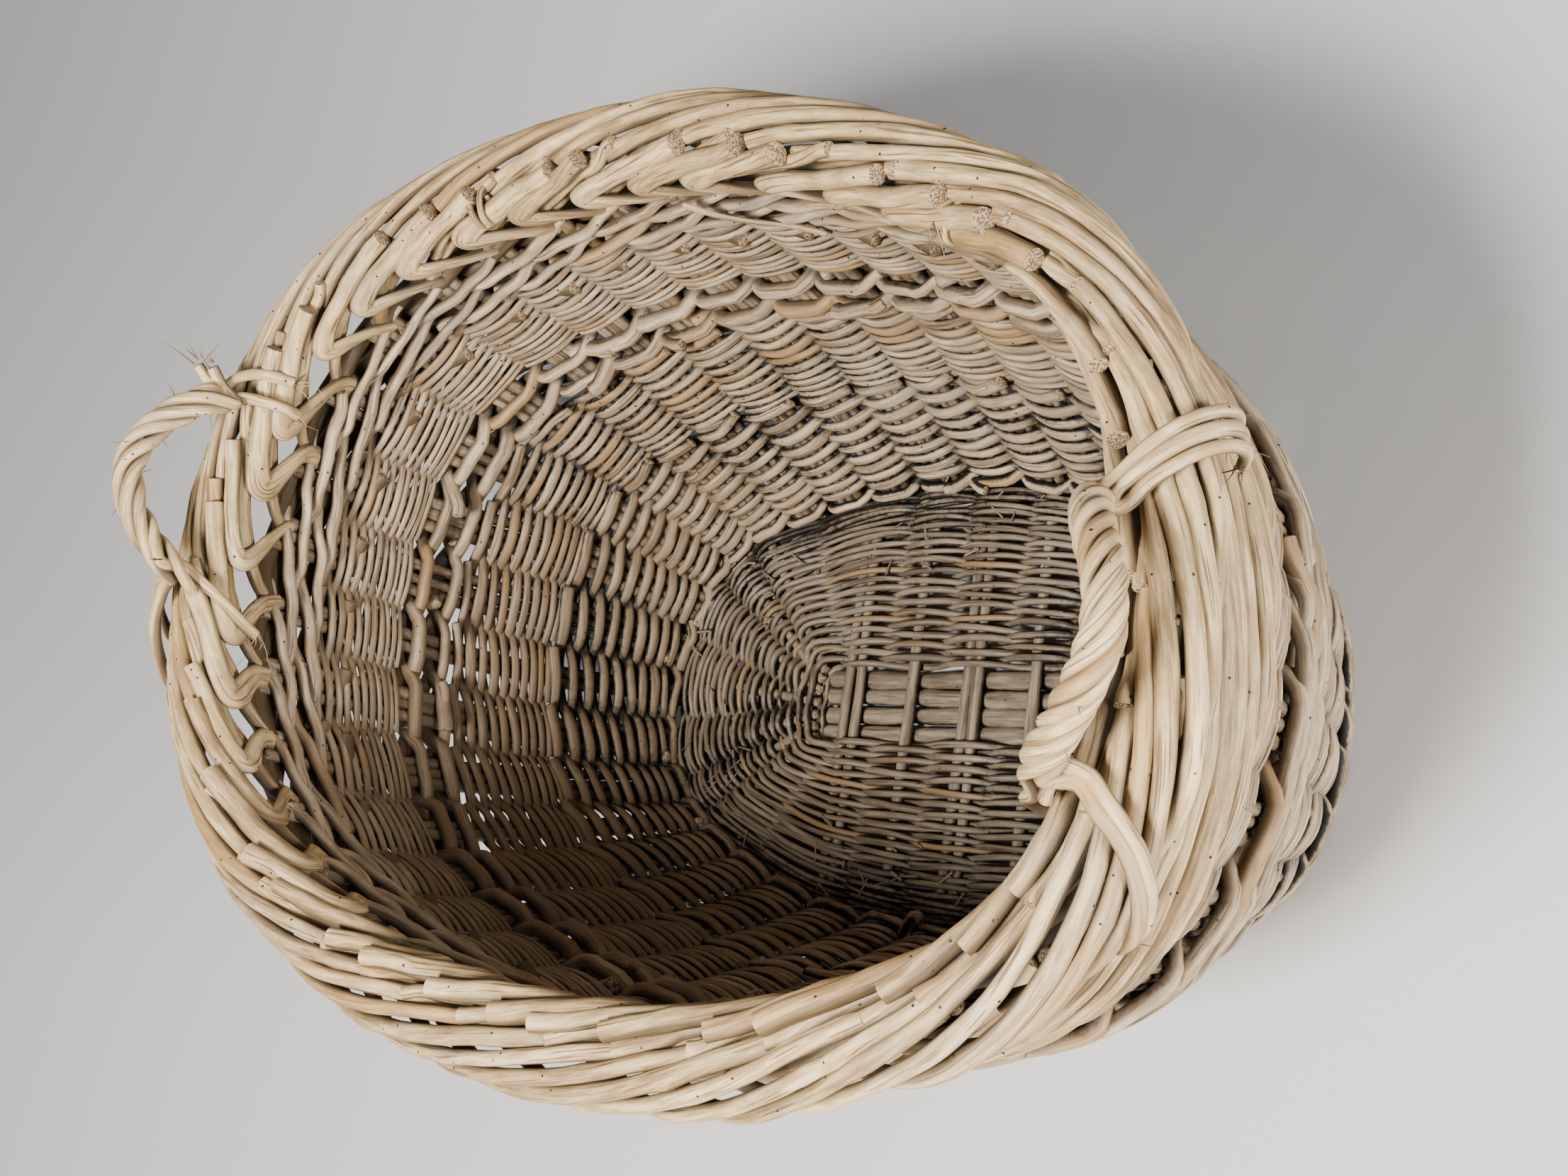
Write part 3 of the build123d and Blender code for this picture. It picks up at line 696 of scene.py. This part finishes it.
# Stake tops kinked back on themselves and folded clockwise, ending in cut butts.
log_keys = in_millimetres([(0.08, -12, -46), (0.05, -17, -35), (-0.06, -22.5, -24), (-0.30, -27, -12),
                           (-0.52, -30, -2), (-0.56, -30.5, 7), (-0.28, -28, 14), (0.15, -24.5, 19),
                           (0.62, -20.5, 24.5), (1.10, -15.5, 31)])
log_flat = [0.8, 0.7, 0.6, 0.55, 0.5, 0.55, 0.75, 0.95, 1.0, 1.0]
under_keys = in_millimetres([(-0.40, -20, -8), (-0.20, -22, 2), (0.15, -20.5, 9), (0.55, -16.5, 14),
                             (0.95, -11, 20), (1.30, -6, 27)])
under_flat = [0.8, 0.9, 1.0, 1.0, 1.0, 1.0]
for half in range(2):
    made = Bundle()
    chosen = range(half * UNITS // 2, (half + 1) * UNITS // 2)
    border_rods(made, log_keys, 6.5 * MM, 84, 20, chosen, (0.94, 1.06), loose=1.8, squash=log_flat,
                cap=0.12, uneven=0.28)
    border_rods(made, under_keys, 5.0 * MM, 50, 16, chosen, (0.95, 1.05), loose=1.6, squash=under_flat,
                cap=0.12, uneven=0.25)
    place(made, f"folded_stake_tops_{half + 1}", border_mat, [f"border_butts_{half + 1}"])

# ---------------------------------------------------------------- handles

def through(points, count):
    """Smooth path through 3-D points."""
    points = np.asarray(points, float)
    gaps = np.linalg.norm(np.diff(points, axis=0), axis=1)
    s = np.concatenate([[0], np.cumsum(gaps)])
    columns = smooth_path(np.column_stack([s, points]), count)
    return np.stack(columns[1:], -1)


def spaced_like(points, vectors, count):
    """Vectors given at the points, read at even distances along them."""
    gaps = np.linalg.norm(np.diff(points, axis=0), axis=1)
    s = np.concatenate([[0], np.cumsum(gaps)])
    even = np.linspace(0, s[-1], count)
    return np.stack([np.interp(even, s, column) for column in np.transpose(vectors)], -1)


def at_turn(degrees, across, up):
    """Point by the border at a normal angle, with across and up in millimetres."""
    angle = np.radians(np.asarray(degrees, float))
    x, y, _, _ = oval(angle, BORDER_OFFSET + np.asarray(across) * MM)
    return np.stack([x, y, BORDER_HEIGHT + np.asarray(up) * MM + 0 * x], -1)


def frays(made, spot, direction, count):
    """Torn fibres that stick out near a spot."""
    direction = np.asarray(direction) / (np.linalg.norm(direction) + 1e-12)
    for _ in range(count):
        start = spot + direction * 3 * MM + rng.normal(0, 2.2, 3) * MM
        way = direction + rng.normal(0, 0.6, 3)
        bend = rng.normal(0, 0.5, 3)
        t = np.linspace(0, 1, 6)[:, None]
        path = start + (way * t + bend * t ** 2) * rng.uniform(6, 14) * MM
        made.tubes(path, np.linspace(0.7, 0.15, 6) * MM, np.cross(way, [0.3, 0.5, 0.8]), 4, 0.1, cap=0.1)


ROPE_POINTS = 190
# Middle line of a bow: normal angle from its middle, then across and up in millimetres.
BOW = ((-15.5, -25, 36), (-14.6, -26, 48), (-12.5, -20, 62), (-9, -8, 76), (-4.5, 5, 87), (0, 11, 91),
       (4.5, 5, 87), (9, -8, 76), (12.5, -20, 62), (14.6, -26, 48), (15.5, -25, 36))


def rope(middle_angle, rods, circle, pitch):
    """Rods twisted round the bow's middle line, and that line."""
    bow = np.array(BOW)
    line = through(at_turn(middle_angle + bow[:, 0], bow[:, 1], bow[:, 2]), 90)
    tangent = np.gradient(line, axis=0)
    tangent /= np.linalg.norm(tangent, axis=1, keepdims=True)
    length = np.concatenate([[0], np.cumsum(np.linalg.norm(np.diff(line, axis=0), axis=1))])
    turn = math.radians(middle_angle)
    front = carried(tangent[None], np.array([[math.cos(turn), math.sin(turn), 0.3]]))[0]
    side = np.cross(tangent, front)
    paths = []
    for k in range(rods):
        twist = 2 * math.pi * (k / rods + length / pitch) + 0.25 * np.sin(length * 60 + k)
        paths.append(line + (front * np.cos(twist)[:, None] + side * np.sin(twist)[:, None]) * circle)
    return paths, line


def handle(name, middle_angle, rods, rod_radius, circle, pitch, tails):
    """A twisted rope; tails are (rod, end, points left off, keys) that lead rods off it round the border."""
    made = Bundle()
    paths, line = rope(middle_angle, rods, circle, pitch)
    for k, path in enumerate(paths):
        cut = {"low": 0, "high": len(path)}
        before, after, out_before, out_after = [], [], [], []
        for rod, end, leave, keys in tails:
            if rod != k:
                continue
            spots = [at_turn(middle_angle + a, across, up) for a, across, up in keys]
            outward = [spot - at_turn(middle_angle + a, 0, 0) for spot, (a, _, _) in zip(spots, keys)]
            if end == "low":
                cut["low"], before, out_before = leave, spots[::-1], outward[::-1]
            else:
                cut["high"], after, out_after = len(path) - leave, spots, outward
            frays(made, spots[-1], spots[-1] - spots[-2], 5)
        kept = slice(cut["low"], cut["high"], 3)
        keys = np.array(list(before) + list(path[kept]) + list(after))
        full = through(keys, ROPE_POINTS)
        out = np.array(out_before + list((path - line)[kept]) + out_after)
        out /= np.linalg.norm(out, axis=1, keepdims=True)
        out = spaced_like(keys, out, ROPE_POINTS)
        fat = rod_radius * rng.uniform(0.90, 1.12) * (1 - 0.12 * np.linspace(-1, 1, ROPE_POINTS) ** 2)
        made.tubes(full, fat, out, 12, 0.12, squash=0.92)
    for index in range(12, 80, 9):
        frays(made, line[index], paths[index % rods][index] - line[index], 2)
    nodes = [f"handle_{name}_strand_{n}" for n in (1, 2, 3)]
    nodes += [f"handle_{name}_lashing_{n}" for n in ("front", "back")]
    place(made, f"handle_{name}_rope", border_mat, nodes)


def wrap_over(angle):
    """Keys of a rod end that sweeps over the border and down its outside."""
    return [(angle - 3.6, -14, 42), (angle - 1.2, 7, 41), (angle + 1.2, 27, 28), (angle + 2.6, 38, 8),
            (angle + 3.2, 37, -14), (angle + 3.2, 27, -30)]


right_tails = [(0, "high", 4, wrap_over(17.6)),
               (2, "high", 6, wrap_over(19.3)),
               (4, "high", 8, wrap_over(21.0)),
               (1, "low", 12, [(-12.5, -2, 45), (-13.8, 11, 42), (-15.2, 22, 35.5), (-17.0, 30, 27),
                             (-19.4, 34, 16), (-22.2, 36.5, 6), (-25.0, 35, -4), (-27.2, 26, -16)]),
               (3, "low", 9, [(-13.6, -6, 45), (-15.0, 8, 42.5), (-16.4, 19, 37.5), (-18.2, 27.5, 29.5),
                            (-20.6, 33, 19), (-23.4, 36, 9), (-26.2, 35, -1), (-28.6, 26, -13)]),
               (0, "low", 2, [(-16.6, -34, 30), (-18.0, -44, 18), (-18.6, -42, 2), (-18.0, -30, -10)]),
               (2, "low", 4, [(-17.6, -32, 36), (-19.6, -43, 22), (-20.2, -42, 6), (-19.8, -30, -8)])]
handle("right", -5.0, 5, 4.3 * MM, 8.0 * MM, 78 * MM, right_tails)
left_tails = [(0, "low", 8, [(-15.0, -12, 50), (-17.5, -12, 45), (-20, -18, 38), (-22, -29, 28),
                             (-23, -36, 16)]),
              (2, "low", 12, [(-13.8, -20, 51), (-15.4, -28, 42), (-16.6, -37, 30), (-17.2, -41, 16),
                              (-16.6, -38, 2)]),
              (1, "low", 6, [(-15.6, -14, 58), (-17.6, -8, 65)]),
              (3, "low", 9, [(-14.6, -8, 60), (-16.4, 2, 70)]),
              (1, "high", 10, [(16, 4, 47), (19.5, 20, 40), (23, 32, 27), (26.5, 38, 10), (29.5, 37, -8),
                               (32, 30, -24)]),
              (0, "high", 7, [(14.4, 12, 44), (17, 28, 32), (19.5, 38, 14), (22, 39, -8), (24, 33, -26)]),
              (3, "high", 14, [(12.6, -22, 46), (14.8, -34, 36), (17.5, -42, 20), (19.5, -43, 6),
                               (21, -40, -10)])]
handle("left", 172.0, 4, 4.9 * MM, 7.6 * MM, 105 * MM, left_tails)

# Withes tied round two of the folded tops, and a loose split lying on the inside of the wall.
made = Bundle()
for angle, across, up, radius, turns, run in ((105, -20, 20, 11.5, 2.2, 1.6), (68, -22, 14, 12.5, 1.3, 0.7)):
    t = np.linspace(0, 2 * math.pi * turns, 90)
    wobble = radius + 0.8 * np.sin(2.6 * t)
    ring = at_turn(angle + run * t / t[-1], across + wobble * np.cos(t), up + wobble * np.sin(t))
    made.tubes(ring, 2.3 * MM, ring - at_turn(angle + 0 * t, across, up), 10, 0.15)
    frays(made, ring[-1], ring[-1] - ring[-4], 6)
t = np.linspace(0, 1, 40)
points, normals = wall(9.34 - 1.1 * t, (425 - 75 * t) * MM, -(20 - 6 * t + 3 * np.sin(5 * t)) * MM)
made.tubes(points, 3.2 * MM, normals, 10, 0.1, tone=0.1, squash=0.4, face=-1)
place(made, "loose_ties", border_mat, ["border_butts_1"])

# ---------------------------------------------------------------- base

def turn_base(points):
    c, s = math.cos(BASE_TURN), math.sin(BASE_TURN)
    out = np.array(points, float)
    out[..., 0] = points[..., 0] * c - points[..., 1] * s
    out[..., 1] = points[..., 0] * s + points[..., 1] * c
    return out


CROSS_PITCH = 59 * MM
CROSS_HEIGHT = 22.3 * MM
LONG_HEIGHT = 9.8 * MM
LONG_PITCH = 15.2 * MM
for n in range(4):
    bundle = Bundle()
    x = np.linspace(-148 * MM, 148 * MM, 120)
    y = (n - 1.5) * LONG_PITCH + 0.8 * MM * np.sin(x * 21 + n * 2)
    pinch = np.cos(math.pi * x / CROSS_PITCH) ** 2
    fat = 7.4 * MM * (1 - 0.16 * pinch ** 6)
    path = turn_base(np.stack([x, y, LONG_HEIGHT + 0.5 * MM * np.sin(x * 17 + n)], -1))
    bundle.tubes(path, fat, [0, 0, 1], 20, 0.36 + 0.35 * pinch ** 3, tone=0.25 + 0.12 * n)
    place(bundle, f"long_stick_{n + 1}", base_mat, [f"base_long_stick_{n + 1}"])

for n, count in enumerate((2, 1, 2, 1, 2)):
    bundle = Bundle()
    for k in range(count):
        y = np.linspace(-150 * MM, 150 * MM, 60)
        x = (n - 2) * CROSS_PITCH + (k - (count - 1) / 2) * 10.8 * MM + 1.2 * MM * np.sin(y * 19 + n + k)
        path = turn_base(np.stack([x, y, CROSS_HEIGHT + 0.5 * MM * np.sin(y * 23 + n)], -1))
        bundle.tubes(path, rng.uniform(4.4, 5.0) * MM, [0, 0, 1], 14, 0.28, tone=rng.uniform(0.2, 0.7))
    place(bundle, f"cross_stick_{n + 1}", base_mat, [f"base_cross_stick_{n + 1}"])

# Columns of the base weave: five cross sticks a side and seven fanned sticks an end.
side_columns = [118 * MM, 59 * MM, 0.0, -59 * MM, -118 * MM]
end_columns = [62, 42, 21, 0, -21, -42, -62]
SIDE_RADIUS = BASE_CORNER + SIDE_EXTRA
WINDOW_HALF_LENGTH, WINDOW_HALF_WIDTH, WINDOW_CORNER = 150 * MM, 30.5 * MM, 10 * MM


def window_line():
    """Rounded rectangle round the bundle: running length and points, from the right of its far side."""
    turn = np.linspace(0, math.pi / 2, 12)
    x0, y0 = WINDOW_HALF_LENGTH - WINDOW_CORNER, WINDOW_HALF_WIDTH - WINDOW_CORNER
    corners = [(-x0 - WINDOW_CORNER * np.sin(turn), y0 + WINDOW_CORNER * np.cos(turn)),
               (-x0 - WINDOW_CORNER * np.cos(turn), -y0 - WINDOW_CORNER * np.sin(turn)),
               (x0 + WINDOW_CORNER * np.sin(turn), -y0 - WINDOW_CORNER * np.cos(turn)),
               (x0 + WINDOW_CORNER * np.cos(turn), y0 + WINDOW_CORNER * np.sin(turn))]
    x = np.concatenate([[x0]] + [c[0] for c in corners])
    y = np.concatenate([[WINDOW_HALF_WIDTH]] + [c[1] for c in corners])
    return np.concatenate([[0], np.cumsum(np.hypot(np.diff(x), np.diff(y)))]), x, y


LINE_RUN, LINE_X, LINE_Y = window_line()
half_lap = LINE_RUN[-1] / 2
end_run = half_lap - 2 * (WINDOW_HALF_LENGTH - WINDOW_CORNER)


def window_point(run):
    run = np.mod(run, LINE_RUN[-1])
    return np.interp(run, LINE_RUN, LINE_X), np.interp(run, LINE_RUN, LINE_Y)


column_angles, column_runs = [], []
for half in range(2):
    for x in side_columns:
        column_angles.append(math.acos(x / SIDE_RADIUS) + half * math.pi)
        column_runs.append(WINDOW_HALF_LENGTH - WINDOW_CORNER - x + half * half_lap)
    for a in end_columns:
        column_angles.append(math.radians(180 - a) + half * math.pi)
        column_runs.append(half_lap - end_run / 2 - end_run * 0.36 * a / 62 + half * half_lap)
COLUMNS = len(column_angles)
column_angles.append(column_angles[0] + 2 * math.pi)
column_runs.append(column_runs[0] + 2 * half_lap)


def base_point(column, share, z):
    """Point of the base weave, from the window at share 0 to the rim at share 1."""
    turns = np.floor(column / COLUMNS)
    inside = column - turns * COLUMNS
    grid = np.arange(COLUMNS + 1)
    angle = np.interp(inside, grid, column_angles)
    run = np.interp(inside, grid, column_runs)
    ox, oy, _, _ = oval(angle, -2 * MM + 0 * angle)
    sx, sy = window_point(run)
    c, s = math.cos(-BASE_TURN), math.sin(-BASE_TURN)
    tx, ty = ox * c - oy * s, ox * s + oy * c
    x = sx * (1 - share) + tx * share
    y = sy * (1 - share) + ty * share
    return turn_base(np.stack([x, y, z + 0 * x], -1))


for name, first in (("right", COLUMNS // 2 + len(side_columns)), ("left", len(side_columns))):
    bundle = Bundle()
    for k in range(len(end_columns)):
        share = np.linspace(0.02, 0.98, 30)
        path = base_point(first + k + 0 * share, share, CROSS_HEIGHT)
        bundle.tubes(path, 4.2 * MM, [0, 0, 1], 12, 0.4)
    place(bundle, f"end_sticks_{name}", base_mat, [f"base_end_sticks_{name}"])

ROWS = 38
STRAWS, STRAW_HEIGHT = 110, 30.5 * MM
END_MIDDLE = len(side_columns) + len(end_columns) // 2
for part_index, name in enumerate(("inner", "outer")):
    bundle = Bundle()
    for row in range(part_index * ROWS // 2, (part_index + 1) * ROWS // 2):
        place_in = (row + 0.5) / ROWS
        share = place_in * (1.30 - 0.30 * place_in)
        steps = COLUMNS * 10
        column = np.linspace(0, COLUMNS + 0.9, steps) + rng.integers(0, COLUMNS)
        fat = (3.1 - 1.0 * place_in) * MM * rng.uniform(0.88, 1.14)
        at_end = np.clip(4.2 - np.abs(np.mod(column, COLUMNS / 2) - END_MIDDLE), 0, 1)
        split = np.clip((share - 0.10) / 0.25, 0, 1)
        hump = hold(column + row, 1.3)
        hump = hump * (1 - at_end * (1 - split)) + at_end * (1 - split) * (1 if row % 2 else -1)
        z = CROSS_HEIGHT + hump * (4.6 * MM + fat) + 0.9 * MM * np.sin(column * 2.3 + row)
        start = np.clip(0.5 - (column - column[0]), 0, 0.5) + np.clip(column - column[-1] + 0.4, 0, 0.4)
        z = z - start * 12 * MM
        sway = np.sin(column * 1.7 + row * 2.1) + np.sin(column * 3.9 + row * 5.1)
        wobble = 0.22 / ROWS * sway * np.clip(place_in * 8, 0.2, 1)
        path = base_point(column, np.clip(share + wobble, 0.005, 1), z)
        corner = wave(column * UNITS / COLUMNS, place_in * 0.4, 2.7)
        dirt = 0.20 + 0.34 * place_in ** 4 + 0.20 * (1 - np.abs(hump)) + 0.28 * corner
        bundle.tubes(path, fat, [0, 0, 1], 9, dirt, face=0.4, knots=0.5)
    if part_index:
        for _ in range(STRAWS):
            column, share = np.array([rng.uniform(0, COLUMNS)]), np.array([rng.uniform(0.55, 1)])
            spot = base_point(column, share, STRAW_HEIGHT)[0]
            way = np.append(rng.normal(0, 1, 2), 0.15)
            line = spot + way / np.linalg.norm(way) * np.linspace(0, 1, 4)[:, None] * rng.uniform(4, 20) * MM
            bundle.tubes(line, rng.uniform(0.5, 1.0) * MM, [0, 0, 1], 5, 0, tone=rng.uniform(0, 0.6),
                         squash=0.6, cap=0.1)
    node = "base_weave_over" if part_index else "base_weave_under"
    place(bundle, f"base_weave_{name}_rows", base_mat, [node])

# ---------------------------------------------------------------- floor, light, camera

def plain(name, colour, roughness):
    mat = bpy.data.materials.new(name)
    mat.use_nodes = True
    shader = mat.node_tree.nodes["Principled BSDF"]
    shader.inputs["Base Color"].default_value = colour
    shader.inputs["Roughness"].default_value = roughness
    return mat


floor_mesh = bpy.data.meshes.new("floor")
reach = 6.0
corners = [(-reach, -reach, 0), (reach, -reach, 0), (reach, reach, 0), (-reach, reach, 0)]
floor_mesh.from_pydata(corners, [], [(0, 1, 2, 3)])
floor_mesh.materials.append(plain("floor_pale", (0.62, 0.61, 0.60, 1), 0.9))
floor = bpy.data.objects.new("floor", floor_mesh)
bpy.context.collection.objects.link(floor)

world = bpy.data.worlds.new("studio")
bpy.context.scene.world = world
world.use_nodes = True
world.node_tree.nodes["Background"].inputs["Color"].default_value = (0.93, 0.95, 1.0, 1)
world.node_tree.nodes["Background"].inputs["Strength"].default_value = 0.17


def soft_light(name, spot, size, power, colour):
    data = bpy.data.lights.new(name, "AREA")
    data.shape = "SQUARE"
    data.size = size
    data.energy = power
    data.color = colour
    lamp = bpy.data.objects.new(name, data)
    lamp.location = spot
    lamp.rotation_euler = (Vector((0, 0, 0.25)) - Vector(spot)).to_track_quat("-Z", "Y").to_euler()
    bpy.context.collection.objects.link(lamp)


soft_light("key", (0.35, -1.0, 2.5), 0.6, 140, (1.0, 0.965, 0.91))
soft_light("side", (2.3, -0.5, 1.1), 0.7, 75, (1.0, 0.98, 0.95))

camera_data = bpy.data.cameras.new("camera")
camera_data.sensor_width = 36
camera_data.lens = 48.8
camera = bpy.data.objects.new("camera", camera_data)
bpy.context.collection.objects.link(camera)
camera.location = (0.963, -0.1945, 1.4233)
right = Vector((0.77015, 0.18814, -0.60948))
back = Vector((0.6359, -0.15171, 0.75671))
camera.rotation_euler = Matrix((right, back.cross(right), back)).transposed().to_euler()
bpy.context.scene.camera = camera
